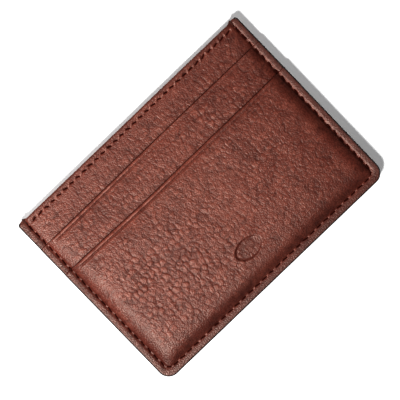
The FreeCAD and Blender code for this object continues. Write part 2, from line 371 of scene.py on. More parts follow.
def leather_height(layer, x, y, seed, back):
    """Top of a layer above the middle plane, with its detail, and the colour
    data: valleys, the sewn margin's tint with painted sheen, dark places with painted shade, and painted highlights."""
    z = base_height(layer, x, y)
    start = {"lower": -99.0, "upper": MOUTH["lower"] - 1.5, "panel": MOUTH["upper"] - 1.5}[layer]
    shown = smooth((y - start) / 0.8)
    sd = seam_distance(x, y)
    inset = margin_inset(x, y)
    # settle each pocket toward the one below it at its mouth
    if layer != "panel":
        below = {"lower": "upper", "upper": "panel"}[layer]
        tuck = {"lower": 0.34, "upper": 0.30}[layer]
        back_from = MOUTH[layer] - y
        room = smooth((sd - 1.0) / 8.0)
        z = z - tuck * room * np.exp(-(np.maximum(back_from, 0) / 3.4) ** 1.6)
    least = z - THICK[layer] + 0.13                    # leather is never thinner than this
    coarse, fine = grain_strength(x, y, layer, back)
    g, valley, painted_highlight = grain(x, y, seed, (coarse, fine))
    z = z + shown * g
    dark = np.zeros_like(x)
    # the pressed line of the seam, and the soft lip outside it
    groove = np.exp(-(sd / 0.55) ** 2)
    lip = np.exp(-((inset - 1.35) / 0.75) ** 2)
    side_band = np.where((sd < 0), 1.0, 0.0)
    low = smooth((SEAM_Y + 1.9 - y) / 1.6)
    z = z - shown * ((0.24 - 0.10 * low) * groove - 0.03 * lip)
    dip, lift, hole = trenches(x, y, PERIMETER)
    z = z + shown * (-0.30 * dip + 0.15 * lift * (1 - dip))
    # painted shade in the stitch trenches and holes; the doubled stitches at the top corners add a dark mark below
    stitch_shade_and_tack = np.maximum(1.0 * dip, 0.98 * hole)
    # painted highlight on the raised lips between stitches
    lip_highlight = lift * (1 - dip)
    stray = 0.13 * np.sin(y * 2.3 + 0.6) + 0.06 * np.sin(y * 5.1)
    tack = np.exp(-((np.abs(x) - SEAM_X - 0.1 - stray) / 0.30) ** 2) * smooth((y - 29.0) / 2.4)
    stitch_shade_and_tack = np.maximum(stitch_shade_and_tack, tack * np.clip(0.06 + 0.75 * perlin(x / 0.42, y / 0.75, 95), 0, 0.6))
    stain = smooth(0.25 + 1.2 * perlin(x / 0.9, y / 1.0, 98)) * np.exp(-((np.abs(x) - SEAM_X - 0.2) / 0.9) ** 2)
    stain = stain * smooth((y - 29.5) / 2.0)
    z = z - shown * 0.06 * tack
    # painted shade in the pressed seam groove, less along the bottom and near the top, none on the lips
    at_seam = 0.55 - 0.32 * low - 0.30 * smooth((y - 28.5) / 2.0)
    dark = np.maximum(dark, at_seam * np.exp(-((sd - 0.03) / 0.20) ** 2) * (1 - 0.8 * lip_highlight))
    dark = np.maximum(dark, 0.40 * stain)
    if layer == "panel":
        inside = smooth((SEAM_X - 0.6 - np.abs(x)) / 0.8)
        hem_groove = np.exp(-((y - HEM_Y) / 0.5) ** 2) * inside
        dip, lift, hole = trenches(x, y, HEM)
        z = z + shown * (-0.08 * hem_groove - 0.28 * dip + 0.15 * lift * (1 - dip))
        # painted shade in the hem's stitch trenches and holes, and painted highlight on its lips
        stitch_shade_and_tack = np.maximum(stitch_shade_and_tack, np.maximum(0.95 * dip, 0.98 * hole) * inside)
        lip_highlight = np.maximum(lip_highlight, lift * (1 - dip) * inside)
        # the folded edge is fuller than the leather below the stitches
        z = z + 0.10 * smooth((y - HEM_Y - 0.3) / 0.9) * inside
    else:
        # creased line under the mouth, with a full bead above it
        my = MOUTH[layer] + mouth_line(layer, x)
        at = my - {"lower": 1.45, "upper": 1.30}[layer]
        inner = smooth((sd - 1.6) / 2.6)
        if layer == "upper":
            inner = inner * (0.18 + 0.82 * smooth((8 - x) / 26))
        else:
            inner = inner * (0.55 + 0.45 * smooth((30 - x) / 40))
        depth = {"lower": 0.20, "upper": 0.15}[layer]
        line = crease(y, at, 0.26) * inner
        bead = crease(y, (at + my) / 2, 0.42) * inner
        z = z - depth * line + 0.15 * bead
        # painted shade in the crease under the mouth, fading toward the right
        dark = np.maximum(dark, 0.42 * crease(y, at + 0.06, 0.20) * inner)
        dark = np.maximum(dark, 0.62 * smooth((y - my + 0.20) / 0.16))
    if layer == "lower":
        # the rolled mouth
        z = z - 0.10 * smooth((y - my + 0.45) / 0.45)
    if layer == "lower" and not back:                  # plain pressed oval
        ex, ey = (x - 0.0) / 5.3, (y + 22.2) / 3.4
        e = np.hypot(ex, ey)
        wall = smooth((1.0 - e) / 0.13)
        ridge = np.exp(-((e - 1.10) / 0.10) ** 2)
        z = z - 0.34 * wall + 0.05 * ridge
        # darker inside the oval, with painted shade at its wall and a painted highlight on the ridge round it
        dark = np.maximum(dark, np.maximum(0.50 * np.exp(-((e - 0.96) / 0.07) ** 2), 0.30 * wall))
        painted_highlight = np.maximum(painted_highlight, 0.7 * ridge)
    # painted highlight on the bead under the mouth and a second one just below the crease, stronger toward the left
    if layer != "panel":
        bead_highlight = np.exp(-((y - (at + my) / 2) / 0.40) ** 2) + 0.55 * np.exp(-((y - at + 0.72) / 0.42) ** 2)
        bead_highlight = bead_highlight * smooth((sd - 2.0) / 3.0) * (0.85 + 0.4 * perlin(x / 2.6, y * 0 + 0.7, 97))
        if layer == "upper":
            bead_highlight = bead_highlight * (0.12 + 0.88 * smooth((6 - x) / 22))
        else:
            bead_highlight = bead_highlight * (0.35 + 0.65 * smooth((24 - x) / 40))
        painted_highlight = np.maximum(painted_highlight, 1.5 * bead_highlight)
    # painted shade just above the mouth of the pocket in front
    if layer != "lower":
        front = {"upper": MOUTH["lower"] + mouth_line("lower", x), "panel": MOUTH["upper"] + mouth_line("upper", x)}[layer]
        uneven = 0.80 + 0.35 * perlin(x / 6.0, y * 0 + 0.3, 96)
        dark = np.maximum(dark, 0.66 * uneven * np.exp(-(np.maximum(y - front, 0) / 0.22) ** 2))
        dark = np.maximum(dark, 0.40 * np.exp(-(np.maximum(y - front, 0) / 0.85) ** 1.2) * smooth((sd - 0.2) / 0.8))
    # painted shade along the slopes by the seam, over the last of the margin: less on the left slope, more toward the
    # bottom
    toward_low = smooth((SEAM_X - np.abs(x) - (y - SEAM_Y)) / 4.0)
    slope_shade = 0.50 * smooth((sd + 0.1) / 0.6) * np.exp(-(np.maximum(sd - 0.2, 0) / (3.2 + 2.1 * toward_low)) ** 1.35)
    slope_shade = slope_shade * {"lower": 1.0, "upper": 0.5, "panel": 0.35}[layer]
    slope_shade = slope_shade * (1.0 - 0.62 * smooth((-x - 34) / 10) * smooth((sd - 0.3) / 1.2) * (1 - toward_low))
    slope_shade = slope_shade * (1.0 + 0.35 * smooth((-28 - y) / 3.5)) * (1 - 0.70 * low * np.exp(-(sd / 1.1) ** 2))
    slope_shade = slope_shade * (0.85 + 0.3 * perlin(x / 3.0, y / 3.0, seed + 88))
    mottle = smooth(0.5 + 1.1 * perlin(x / 1.0, y / 1.2, seed + 86)) * smooth(0.62 + perlin(x / 3.2, y / 3.6, seed + 87))
    patchy = smooth(0.4 + 1.1 * perlin(x / 1.5 + 4, y / 1.3 + 2, seed + 89)) * smooth((-sd - 0.3) / 0.4)
    # dark cut edge and a mottled darker margin outside the seam; the right margin is kept lighter as painted sheen
    rim_dark = np.maximum(0.85 * smooth((0.64 - inset) / 0.20),
                          (0.62 - 0.30 * smooth((x - SEAM_X) / 0.6)) * mottle * smooth((-sd - 0.3) / 0.4))
    dark = np.maximum(dark * (1 - 0.7 * lip_highlight), np.maximum(slope_shade, rim_dark) * (1 - 0.85 * lip_highlight))
    if layer == "lower":
        # painted shade on the lower pocket's left slope and along its bottom slope
        dark = np.maximum(dark, 0.25 * np.exp(-((x + 44.2) / 2.2) ** 2))
        dark = np.maximum(dark, 0.20 * np.exp(-((y + 28.3) / 2.4) ** 2) * smooth((sd - 1.5) / 1.5))
    dark = np.maximum(dark, 0.29 * smooth((SEAM_Y - 0.3 - y) / 0.6) * (1 - lip_highlight))
    dark = np.maximum(dark, stitch_shade_and_tack)
    fold = smooth((y - MOUTH["panel"] + 0.75) / 0.5) if layer == "panel" else 0.0
    # the margin outside the seam is tinted pinkish grey: partly its own pressed tone, partly painted sheen, stronger on
    # the right margin
    right = smooth((x - SEAM_X) / 0.6)
    band = np.clip((0.8 + 0.35 * right) * smooth((-sd - 0.35 + 0.40 * low) / 0.5) * (1 - 0.7 * lip_highlight), 0, 1.2)
    band = np.maximum(band, 0.9 * fold)
    dark = np.maximum(dark, 0.16 * fold)
    # painted highlights on the lips between stitches and mottled over the margin, stronger on the right margin
    painted_highlight = np.maximum(painted_highlight, 1.85 * lip_highlight * (1 - stitch_shade_and_tack))
    painted_highlight = np.maximum(painted_highlight, (0.6 + 0.35 * right) * patchy * smooth((inset - 0.7) / 0.3))
    z = np.maximum(z, least)
    return z, np.clip(valley * shown, 0, 1), band, np.clip(dark * shown, 0, 1), painted_highlight * shown


def steps(a, b, size):
    n = max(1, int(round((b - a) / size)))
    return [a + (b - a) * k / n for k in range(n)]


def axis_grid(spans):
    """Grid lines: spans is a list of (start, end, spacing)."""
    out = []
    for a, b, size in spans:
        out += steps(a, b, size)
    out.append(spans[-1][1])
    return np.array(out)


def new_object(name, verts, faces, material, smooth_shade=True):
    mesh = bpy.data.meshes.new(name)
    mesh.from_pydata([tuple(v) for v in np.asarray(verts) * MM], [], faces)
    mesh.validate(clean_customdata=False)
    mesh.update()
    if smooth_shade:
        mesh.polygons.foreach_set("use_smooth", [True] * len(mesh.polygons))
    obj = bpy.data.objects.new(name, mesh)
    bpy.context.scene.collection.objects.link(obj)
    if material:
        mesh.materials.append(material)
    return obj


def paint_points(obj, name, values):
    """Per-point colour data for the material. values is (points, 4)."""
    data = obj.data.color_attributes.new(name=name, type="FLOAT_COLOR", domain="POINT")
    rgba = np.asarray(values, dtype=np.float32)
    data.data.foreach_set("color", rgba.ravel())


def rounded(x, y, x_half, y_low, r_low, y_high, r_high):
    """Maps a rectangle's points so that its corners are round."""
    x, y = x.copy(), y.copy()
    for corner_y, r, up in ((y_low, r_low, False), (y_high, r_high, True)):
        if not r:
            continue
        for sx in (-1, 1):
            u = (x * sx - (x_half - r)) / r
            v = ((y - (corner_y - r)) if up else ((corner_y + r) - y)) / r
            m = (u > 0) & (v > 0)
            uu, vv = u[m], v[m]
            nu = uu * np.sqrt(np.maximum(1 - vv * vv / 2, 0))
            nv = vv * np.sqrt(np.maximum(1 - uu * uu / 2, 0))
            x[m] = sx * (x_half - r + nu * r)
            y[m] = (corner_y - r + nv * r) if up else (corner_y + r - nv * r)
    return x, y


def leather_sheet(name, layer, back, material, node):
    """One leather layer as a closed sheet: a fine outer face, a rounded cut
    edge all round, and a coarser inner face."""
    seed = {"lower": 11, "upper": 23, "panel": 37}[layer] + (100 if back else 0)
    roll = 0.20
    x_half = HALF_X - 0.34 - roll
    y_low = BOTTOM_Y + 0.34 + roll
    y_high = MOUTH[layer] - roll
    f = 0.27
    xs = axis_grid([(-x_half, -x_half + 1.2, 0.24), (-x_half + 1.2, -x_half + 3.4, 0.13),
                    (-x_half + 3.4, x_half - 3.4, f),
                    (x_half - 3.4, x_half - 1.2, 0.13), (x_half - 1.2, x_half, 0.24)])
    if layer == "lower":
        ys = axis_grid([(y_low, y_low + 1.2, 0.24), (y_low + 1.2, y_low + 3.4, 0.13),
                        (y_low + 3.4, y_high - 2.4, f), (y_high - 2.4, y_high, 0.15)])
    elif layer == "upper":
        a = MOUTH["lower"] - 2.0
        ys = axis_grid([(y_low, a, 1.6), (a, y_high - 2.2, f), (y_high - 2.2, y_high, 0.15)])
    else:
        a = MOUTH["upper"] - 2.0
        ys = axis_grid([(y_low, a, 1.6), (a, HEM_Y - 1.0, f), (HEM_Y - 1.0, HEM_Y + 1.0, 0.13),
                        (HEM_Y + 1.0, y_high, 0.2)])
    nx, ny = len(xs), len(ys)
    gx, gy = np.meshgrid(xs, ys)                       # rows are y
    gx, gy = rounded(gx, gy, x_half, y_low, CORNER_R - 0.34 - roll, y_high,
                     TOP_R - roll if layer == "panel" else 0.0)
    # follow the real mouth line
    pull = smooth((gy - (y_high - 3.0)) / 3.0)
    gy = gy + pull * mouth_line(layer, gx)
    z, valley, band, dark, painted_highlight = leather_height(layer, gx, gy, seed, back)
    if back:                                           # pressed flat where it rests
        rest = MID_Z - LO[2] - 0.01
        z = np.minimum(z, rest) - 0.03 * np.log1p(np.exp(-np.abs(z - rest) / 0.03))
    if layer == "panel":                               # the fold rolls over
        z = z - 0.20 * smooth((gy - (y_high - 0.5)) / 0.7) ** 2
    top = np.stack([gx, gy, z], axis=-1)
    tone = np.stack([valley, band, dark, painted_highlight], axis=-1)
    verts = [top.reshape(-1, 3)]
    tones = [tone.reshape(-1, 4)]
    idx = np.arange(nx * ny).reshape(ny, nx)
    faces = []
    q = np.stack([idx[:-1, :-1], idx[:-1, 1:], idx[1:, 1:], idx[1:, :-1]], axis=-1).reshape(-1, 4)
    faces += q.tolist()
    # boundary loop, counter-clockwise from the lower left
    loop = np.concatenate([idx[0, :], idx[1:, -1], idx[-1, -2::-1], idx[-2:0:-1, 0]])
    ij = ([(0, j) for j in range(nx)] + [(i, nx - 1) for i in range(1, ny)]
          + [(ny - 1, j) for j in range(nx - 2, -1, -1)] + [(i, 0) for i in range(ny - 2, 0, -1)])
    edge = top.reshape(-1, 3)[loop]
    n = len(loop)
    tangent = np.roll(edge, -1, axis=0) - np.roll(edge, 1, axis=0)
    out = np.stack([tangent[:, 1], -tangent[:, 0]], axis=-1)
    out /= np.maximum(np.linalg.norm(out, axis=1, keepdims=True), 1e-9)
    for _ in range(2):                                 # even out the sharp mouth corners
        out = out * 0.5 + 0.25 * (np.roll(out, 1, axis=0) + np.roll(out, -1, axis=0))
        out /= np.maximum(np.linalg.norm(out, axis=1, keepdims=True), 1e-9)
    under = base_height(layer, edge[:, 0], edge[:, 1]) - THICK[layer]
    if layer != "panel":
        under = under - 0.30 * smooth((seam_distance(edge[:, 0], edge[:, 1]) - 1.0) / 8.0) * (
            edge[:, 1] > y_high - 0.6)
    t = edge[:, 2] - under
    at_mouth = (edge[:, 1] > y_high - 0.5).astype(float)
    count = nx * ny
    previous = loop
    rings = [(0.30, 0.045), (0.60, 0.17), (0.86, 0.42), (1.0, 0.9)]
    profile = [(a * roll, b * roll) for a, b in rings]
    stations = [(o, None, d) for o, d in profile]
    stations += [(roll, 0.5, 0.0)]
    stations += [(o, "low", d) for o, d in reversed(profile)]
    for o, kind, d in stations:
        if kind is None:
            zz = edge[:, 2] - d
        elif kind == "low":
            zz = under + d
        else:
            zz = under + t * kind
        ring = np.column_stack([edge[:, 0] + out[:, 0] * o, edge[:, 1] + out[:, 1] * o, zz])
        verts.append(ring)
        m = smooth(np.full(n, (o / roll - 0.35) / 0.5)) if kind is None else np.ones(n)
        mouth_tone = 0.40 if layer == "panel" else 0.70    # a fold, or a cut and dyed edge
        fold_grey = at_mouth * (1.0 if layer == "panel" else 0.0)
        tones.append(np.column_stack([np.zeros(n), fold_grey, m * np.where(at_mouth > 0, mouth_tone, 0.9),
                                      np.zeros(n)]))
        here = np.arange(count, count + n)
        count += n
        nxt_prev, nxt_here = np.roll(previous, -1), np.roll(here, -1)
        faces += np.column_stack([previous, here, nxt_here, nxt_prev]).tolist()
        previous = here
    # inner face, every fourth line
    ki = sorted(set(list(range(0, ny, 4)) + [ny - 1]))
    kj = sorted(set(list(range(0, nx, 4)) + [nx - 1]))
    sub = np.ix_(ki, kj)
    bx, by = gx[sub], gy[sub]
    bz = base_height(layer, bx, by) - THICK[layer]
    if layer != "panel":
        bz = bz - 0.30 * smooth((seam_distance(bx, by) - 1.0) / 8.0) * np.exp(
            -(np.maximum(MOUTH[layer] - by, 0) / 3.4) ** 1.6)
    bottom = np.stack([bx, by, bz], axis=-1)
    verts.append(bottom.reshape(-1, 3))
    tones.append(np.zeros((bottom.shape[0] * bottom.shape[1], 4)) + np.array([0.0, 0.0, 0.25, 0.0]))
    bidx = np.arange(count, count + len(ki) * len(kj)).reshape(len(ki), len(kj))
    q = np.stack([bidx[:-1, :-1], bidx[1:, :-1], bidx[1:, 1:], bidx[:-1, 1:]], axis=-1).reshape(-1, 4)
    faces += q.tolist()
    where = {}
    for a, i in enumerate(ki):
        for b, j in enumerate(kj):
            where[(i, j)] = int(bidx[a, b])
    marks = [k for k, p in enumerate(ij) if p in where and
             (p[0] in (0, ny - 1) or p[1] in (0, nx - 1))]
    for a, b in zip(marks, marks[1:] + [marks[0] + n]):
        chain = [int(previous[k % n]) for k in range(a, b + 1)]
        faces.append(chain[::-1] + [where[ij[a % n]], where[ij[b % n]]])
    verts = np.concatenate(verts)
    tones = np.concatenate(tones)
    if back:
        verts[:, 2] = MID_Z - verts[:, 2]
        faces = [list(reversed(face)) for face in faces]
    else:
        verts[:, 2] = MID_Z + verts[:, 2]
    obj = new_object(name, verts, faces, material)
    paint_points(obj, "detail", tones)
    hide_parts(node)
    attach(obj, "root")
    return obj


# ------------------------------------------------------------------- materials
class Nodes:
    def __init__(self, name):
        self.m = bpy.data.materials.new(name)
        self.m.use_nodes = True
        self.t = self.m.node_tree
        self.bsdf = next(n for n in self.t.nodes if n.type == "BSDF_PRINCIPLED")

    def add(self, kind, **values):
        node = self.t.nodes.new(kind)
        for key, value in values.items():
            if key in node.inputs.keys():
                node.inputs[key].default_value = value
            else:
                setattr(node, key, value)
        return node

    def link(self, a, b):
        self.t.links.new(a, b)

    def math(self, op, a, b=None, clamp=False):
        node = self.t.nodes.new("ShaderNodeMath")
        node.operation = op
        node.use_clamp = clamp
        for k, v in enumerate((a, b)):
            if v is None:
                continue
            if isinstance(v, (int, float)):
                node.inputs[k].default_value = v
            else:
                self.link(v, node.inputs[k])
        return node.outputs[0]

    def mix(self, factor, a, b, blend="MIX"):
        node = self.t.nodes.new("ShaderNodeMix")
        node.data_type = "RGBA"
        node.blend_type = blend
        for k, v in ((0, factor), (6, a), (7, b)):
            if isinstance(v, (int, float)):
                node.inputs[k].default_value = v
            elif isinstance(v, tuple):
                node.inputs[k].default_value = (*v, 1.0)
            else:
                self.link(v, node.inputs[k])
        return node.outputs[2]

    def ramp(self, value, stops):
        node = self.t.nodes.new("ShaderNodeValToRGB")
        e = node.color_ramp.elements
        e[0].position, e[0].color = stops[0][0], (*stops[0][1], 1)
        e[1].position, e[1].color = stops[-1][0], (*stops[-1][1], 1)
        for p, c in stops[1:-1]:
            new = e.new(p)
            new.color = (*c, 1)
        self.link(value, node.inputs[0])
        return node.outputs[0]


def grey(v):
    return (v, v, v)


def leather_material():
    k = Nodes("brown_leather")
    where = k.add("ShaderNodeTexCoord").outputs["Object"]
    data = k.add("ShaderNodeAttribute", attribute_name="detail")
    sep = k.add("ShaderNodeSeparateColor")
    k.link(data.outputs["Color"], sep.inputs[0])
    valley, band, dark, painted_highlight = sep.outputs[0], sep.outputs[1], sep.outputs[2], data.outputs["Alpha"]
    big = k.add("ShaderNodeTexNoise", Scale=62.0, Detail=3.0, Roughness=0.55)
    k.link(where, big.inputs["Vector"])
    mid = k.add("ShaderNodeTexNoise", Scale=420.0, Detail=4.0, Roughness=0.6)
    k.link(where, mid.inputs["Vector"])
    pores = k.add("ShaderNodeTexVoronoi", Scale=2050.0, Randomness=0.95)
    pores.feature = "F1"
    k.link(where, pores.inputs["Vector"])
    colour = k.ramp(big.outputs[0], [(0.30, (0.080, 0.0155, 0.0098)), (0.5, (0.111, 0.0225, 0.0141)),
                                     (0.72, (0.142, 0.0310, 0.0195))])
    colour = k.mix(k.math("MULTIPLY", mid.outputs[0], 0.36), colour, (0.180, 0.0500, 0.0350))
    # painted highlights, and paler pinkish white where they are strongest
    colour = k.mix(k.math("MULTIPLY", painted_highlight, 0.58, True), colour, (0.255, 0.0760, 0.0500))
    colour = k.mix(k.math("MULTIPLY", k.math("SUBTRACT", painted_highlight, 0.95), 0.75, True), colour, (0.385, 0.1950, 0.1580))
    speck = k.ramp(pores.outputs["Distance"], [(0.12, grey(1.18)), (0.40, grey(1.0)), (0.68, grey(0.69))])
    colour = k.mix(1.0, colour, speck, "MULTIPLY")
    colour = k.mix(k.math("MULTIPLY", valley, 0.78), colour, (0.038, 0.0055, 0.0034))
    # the margin's and fold's tint, partly painted sheen
    colour = k.mix(k.math("MULTIPLY", band, 0.55), colour, (0.074, 0.0330, 0.0275))
    # dark dye and dark edges, and painted shade
    colour = k.mix(dark, colour, (0.0165, 0.0022, 0.0016))
    k.link(colour, k.bsdf.inputs["Base Color"])
    rough = k.math("MULTIPLY_ADD", mid.outputs[0], 0.16)
    rough.node.inputs[2].default_value = 0.29
    rough = k.math("ADD", rough, k.math("MULTIPLY", valley, 0.12))
    k.link(rough, k.bsdf.inputs["Roughness"])
    k.bsdf.inputs["Specular IOR Level"].default_value = 0.46
    k.bsdf.inputs["Specular Tint"].default_value = (1.0, 0.76, 0.66, 1.0)
    # pores and the finest wrinkles
    fine = k.add("ShaderNodeTexNoise", Scale=2300.0, Detail=3.0, Roughness=0.6)
    k.link(where, fine.inputs["Vector"])
    height = k.math("ADD", k.math("MULTIPLY", pores.outputs["Distance"], -0.9),
                    k.math("MULTIPLY", fine.outputs[0], 0.5))
    bump = k.add("ShaderNodeBump", Strength=0.80, Distance=0.00011)
    k.link(height, bump.inputs["Height"])
    k.link(bump.outputs[0], k.bsdf.inputs["Normal"])
    return k.m


def thread_material():
    k = Nodes("sewing_thread")
    where = k.add("ShaderNodeTexCoord").outputs["Object"]
    noise = k.add("ShaderNodeTexNoise", Scale=900.0, Detail=3.0, Roughness=0.6)
    k.link(where, noise.inputs["Vector"])
    wave = k.add("ShaderNodeTexNoise", Scale=5200.0, Detail=2.0, Roughness=0.5)
    k.link(where, wave.inputs["Vector"])
    colour = k.ramp(noise.outputs[0], [(0.3, (0.013, 0.0013, 0.0009)), (0.7, (0.026, 0.0034, 0.0022))])
    # the thread's dark colour is partly painted shade of its trenches; where it is wrapped over the open edge it shows
    # its own lighter brown
    place = k.add("ShaderNodeSeparateXYZ")
    k.link(where, place.inputs[0])
    wrapped_part = k.math("MULTIPLY", k.math("SUBTRACT", place.outputs[1], 0.0337), 900.0, True)
    colour = k.mix(k.math("MULTIPLY", wrapped_part, 0.85), colour, (0.0620, 0.0240, 0.0185))
    k.link(colour, k.bsdf.inputs["Base Color"])
    k.bsdf.inputs["Roughness"].default_value = 0.62
    k.bsdf.inputs["Specular IOR Level"].default_value = 0.09
    k.bsdf.inputs["Specular Tint"].default_value = (1.0, 0.70, 0.60, 1.0)
    bump = k.add("ShaderNodeBump", Strength=0.5, Distance=0.00003)
    k.link(wave.outputs[0], bump.inputs["Height"])
    k.link(bump.outputs[0], k.bsdf.inputs["Normal"])
    return k.m


def paint_material():
    k = Nodes("edge_paint")
    where = k.add("ShaderNodeTexCoord").outputs["Object"]
    noise = k.add("ShaderNodeTexNoise", Scale=260.0, Detail=4.0, Roughness=0.6)
    k.link(where, noise.inputs["Vector"])
    colour = k.ramp(noise.outputs[0], [(0.3, (0.008, 0.0058, 0.0052)), (0.7, (0.018, 0.012, 0.010))])
    k.link(colour, k.bsdf.inputs["Base Color"])
    rough = k.ramp(noise.outputs[0], [(0.3, grey(0.46)), (0.7, grey(0.62))])
    k.link(rough, k.bsdf.inputs["Roughness"])
    k.bsdf.inputs["Specular IOR Level"].default_value = 0.22
    bump = k.add("ShaderNodeBump", Strength=0.4, Distance=0.00006)
    k.link(noise.outputs[0], bump.inputs["Height"])
    k.link(bump.outputs[0], k.bsdf.inputs["Normal"])
    return k.m


def lining_material():
    k = Nodes("lining_cloth")
    where = k.add("ShaderNodeTexCoord").outputs["Object"]
    sep = k.add("ShaderNodeSeparateXYZ")
    k.link(where, sep.inputs[0])
    warp = k.math("SINE", k.math("MULTIPLY", sep.outputs[0], 2 * math.pi / 0.00036))
    weft = k.math("SINE", k.math("MULTIPLY", sep.outputs[1], 2 * math.pi / 0.00036))
    weave = k.math("MULTIPLY", warp, weft)
    noise = k.add("ShaderNodeTexNoise", Scale=300.0, Detail=3.0, Roughness=0.6)
    k.link(where, noise.inputs["Vector"])
    value = k.math("MULTIPLY_ADD", weave, 0.18)
    value.node.inputs[2].default_value = 0.35
    value = k.math("ADD", value, k.math("MULTIPLY", noise.outputs[0], 0.3))
    colour = k.ramp(value, [(0.2, (0.030, 0.014, 0.010)), (0.8, (0.085, 0.042, 0.030))])
    k.link(colour, k.bsdf.inputs["Base Color"])
    k.bsdf.inputs["Roughness"].default_value = 0.75
    k.bsdf.inputs["Sheen Weight"].default_value = 0.25
    bump = k.add("ShaderNodeBump", Strength=0.5, Distance=0.00005)
    k.link(weave, bump.inputs["Height"])
    k.link(bump.outputs[0], k.bsdf.inputs["Normal"])
    return k.m


LEATHER = leather_material()
THREAD = thread_material()
PAINT = paint_material()
LINING = lining_material()

# ---------------------------------------------------------------------- leather
for back, word in ((False, "front"), (True, "back")):
    for layer, node in (("lower", "lower_pocket"), ("upper", "upper_pocket"), ("panel", "panel")):
        leather_sheet("%s_%s_leather" % (word, node), layer, back, LEATHER, "%s_%s" % (word, node))


# ---------------------------------------------------------------------- linings
def lining_sheet(name, layer, back, node):
    """A thin cloth sheet behind a leather layer."""
    low, high = (np.array(c) * 1000 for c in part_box(node))
    x_half, y_low, y_high = HALF_X - 0.6, BOTTOM_Y + 0.6, high[1]
    xs = axis_grid([(-x_half, x_half, 1.3)])
    ys = axis_grid([(y_low, y_high, 1.3)])
    gx, gy = np.meshgrid(xs, ys)
    gx, gy = rounded(gx, gy, x_half, y_low, CORNER_R - 0.6, y_high, 0.0)
    top = base_height(layer, gx, gy) - THICK[layer] - 0.005
    if layer != "panel":
        top = top - 0.30 * smooth((seam_distance(gx, gy) - 1.0) / 8.0) * np.exp(
            -(np.maximum(MOUTH[layer] - gy, 0) / 3.4) ** 1.6)
    nx, ny = len(xs), len(ys)
    a = np.stack([gx, gy, top], axis=-1).reshape(-1, 3)
    b = np.stack([gx, gy, top - 0.085], axis=-1).reshape(-1, 3)
    idx = np.arange(nx * ny).reshape(ny, nx)
    q = np.stack([idx[:-1, :-1], idx[:-1, 1:], idx[1:, 1:], idx[1:, :-1]], axis=-1).reshape(-1, 4)
    faces = q.tolist() + (q[:, ::-1] + nx * ny).tolist()
    loop = np.concatenate([idx[0, :], idx[1:, -1], idx[-1, -2::-1], idx[-2:0:-1, 0]])
    nxt = np.roll(loop, -1)
    faces += np.column_stack([loop, loop + nx * ny, nxt + nx * ny, nxt]).tolist()
    verts = np.concatenate([a, b])
    if back:
        verts[:, 2] = MID_Z - verts[:, 2]
        faces = [list(reversed(face)) for face in faces]
    else:
        verts[:, 2] = MID_Z + verts[:, 2]
    obj = new_object(name, verts, faces, LINING)
    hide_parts(node)
    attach(obj, "root")
    return obj


for back, word in ((False, "front"), (True, "back")):
    for layer, node in (("lower", "lower_pocket_lining"), ("upper", "upper_pocket_lining"),
                        ("panel", "centre_lining")):
        lining_sheet("%s_%s_cloth" % (word, node), layer, back, "%s_%s" % (word, node))


# ----------------------------------------------------------------------- thread
def tube(points, radius, sides=8):
    """A closed tube along points, with a frame carried along it."""
    p = np.asarray(points, float)
    t = np.gradient(p, axis=0)
    t /= np.maximum(np.linalg.norm(t, axis=1, keepdims=True), 1e-9)
    up = np.array([0.0, 0.0, 1.0]) if abs(t[0][2]) < 0.9 else np.array([1.0, 0.0, 0.0])
    n = np.cross(t[0], up)
    n /= np.linalg.norm(n)
    verts, faces = [], []
    for i in range(len(p)):
        n = n - t[i] * np.dot(n, t[i])
        n /= max(np.linalg.norm(n), 1e-9)
        b = np.cross(t[i], n)
        a = np.arange(sides) * 2 * math.pi / sides
        verts.append(p[i] + radius * (np.cos(a)[:, None] * n + np.sin(a)[:, None] * b))
    verts = np.concatenate(verts)
    for i in range(len(p) - 1):
        for k in range(sides):
            a, b = i * sides + k, i * sides + (k + 1) % sides
            faces.append([a, b, b + sides, a + sides])
    faces.append(list(range(sides))[::-1])
    faces.append([(len(p) - 1) * sides + k for k in range(sides)])
    return verts, faces


def twisted(path, radius, lay, turns_per_mm):
    """Two plies laid round each other along a path."""
    p = np.asarray(path, float)
    step = np.linalg.norm(np.diff(p, axis=0), axis=1)
    s = np.concatenate([[0], np.cumsum(step)])
    n_new = max(8, int(s[-1] / 0.13))
    sn = np.linspace(0, s[-1], n_new)
    q = np.column_stack([np.interp(sn, s, p[:, k]) for k in range(3)])
    for _ in range(2):
        q[1:-1] = 0.25 * q[:-2] + 0.5 * q[1:-1] + 0.25 * q[2:]
    t = np.gradient(q, axis=0)
    t /= np.maximum(np.linalg.norm(t, axis=1, keepdims=True), 1e-9)
    n = np.cross(t[0], [0.31, 0.47, 0.82])
    n /= np.linalg.norm(n)
    frames = []
    for i in range(len(q)):
        n = n - t[i] * np.dot(n, t[i])
        n /= max(np.linalg.norm(n), 1e-9)
        frames.append((n.copy(), np.cross(t[i], n)))
    verts, faces, base = [], [], 0
    for ply in (0.0, math.pi):
        a = sn * turns_per_mm * 2 * math.pi + ply
        centre = np.array([q[i] + lay * (math.cos(a[i]) * frames[i][0] + math.sin(a[i]) * frames[i][1])
                           for i in range(len(q))])
        v, f = tube(centre, radius, 7)
        verts.append(v)
        faces += [[k + base for k in face] for face in f]
        base += len(v)
    return np.concatenate(verts), faces


def seam_top(x, y):
    """Height of the outermost leather above the middle plane near the seams."""
    layer = np.where(y < MOUTH["lower"], 0, np.where(y < MOUTH["upper"], 1, 2))
    return np.choose(layer, [base_height("lower", x, y), base_height("upper", x, y),
                             base_height("panel", x, y)])


